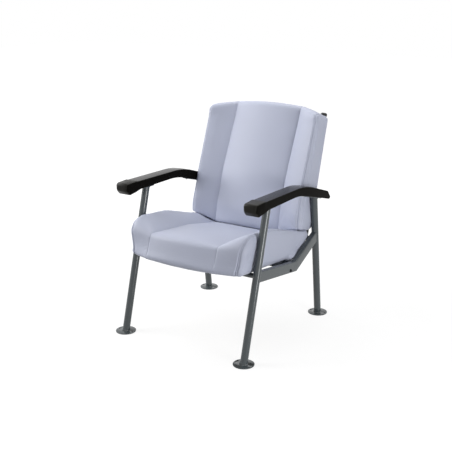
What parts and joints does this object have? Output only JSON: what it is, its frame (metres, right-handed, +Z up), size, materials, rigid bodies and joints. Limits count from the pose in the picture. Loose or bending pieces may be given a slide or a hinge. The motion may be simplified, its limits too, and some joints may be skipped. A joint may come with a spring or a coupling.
{
  "type": "patient rest chair",
  "caption": "Floor-fixed tube-frame patient armchair with a bolstered vinyl seat and reclined back, moulded armrests and round screw-down feet.",
  "frame": {"origin": "on the floor, under the middle of the chair's overall box", "axes": "+Z up, -Y towards the front of the chair, +X to the sitter's left"},
  "size_m": [0.712, 0.8435, 0.9644],
  "materials": {
    "frame_paint": "satin blue-grey paint",
    "vinyl": "satin lavender-grey vinyl-coated fabric over foam",
    "armrest_moulding": "satin black polyurethane moulding",
    "plywood": "bare plywood",
    "zinc": "zinc-plated",
    "black_bolt": "black oxide",
    "black_cap": "satin black"
  },
  "bodies": {
    "root": {"front_leg_left": "frame_paint", "front_leg_right": "frame_paint", "rear_leg_left": "frame_paint", "rear_leg_right": "frame_paint", "foot_flange_front_left": "frame_paint", "foot_flange_front_right": "frame_paint", "foot_flange_rear_left": "frame_paint", "foot_flange_rear_right": "frame_paint", "side_rail_left": "frame_paint", "side_rail_right": "frame_paint", "rail_riser_left": "frame_paint", "rail_riser_right": "frame_paint", "front_cross_tube": "frame_paint", "rear_cross_tube": "frame_paint", "front_arm_plate_left": "frame_paint", "front_arm_plate_right": "frame_paint", "rear_arm_plate_left": "frame_paint", "rear_arm_plate_right": "frame_paint", "seat_bracket_left": "frame_paint", "seat_bracket_right": "frame_paint", "back_upright_left": "frame_paint", "back_upright_right": "frame_paint", "upright_cap_left": "black_cap", "upright_cap_right": "black_cap", "armrest_left": "armrest_moulding", "armrest_right": "armrest_moulding", "seat_cushion": "vinyl", "back_cushion": "vinyl", "seat_board": "plywood", "back_board": "plywood", "bracket_bolt_left": "black_bolt", "bracket_bolt_right": "black_bolt", "bracket_nut_left": "zinc", "bracket_nut_right": "zinc", "arm_screw_front_left_front": "zinc", "arm_screw_front_left_rear": "zinc", "arm_screw_rear_left_front": "zinc", "arm_screw_rear_left_rear": "zinc", "arm_screw_front_right_front": "zinc", "arm_screw_front_right_rear": "zinc", "arm_screw_rear_right_front": "zinc", "arm_screw_rear_right_rear": "zinc", "seat_screw_front_left": "zinc", "seat_screw_rear_left": "zinc", "seat_screw_cross_left": "zinc", "seat_screw_front_right": "zinc", "seat_screw_rear_right": "zinc", "seat_screw_cross_right": "zinc", "back_screw_low_left": "zinc", "back_screw_high_left": "zinc", "back_screw_low_right": "zinc", "back_screw_high_right": "zinc"}
  },
  "joints": []
}
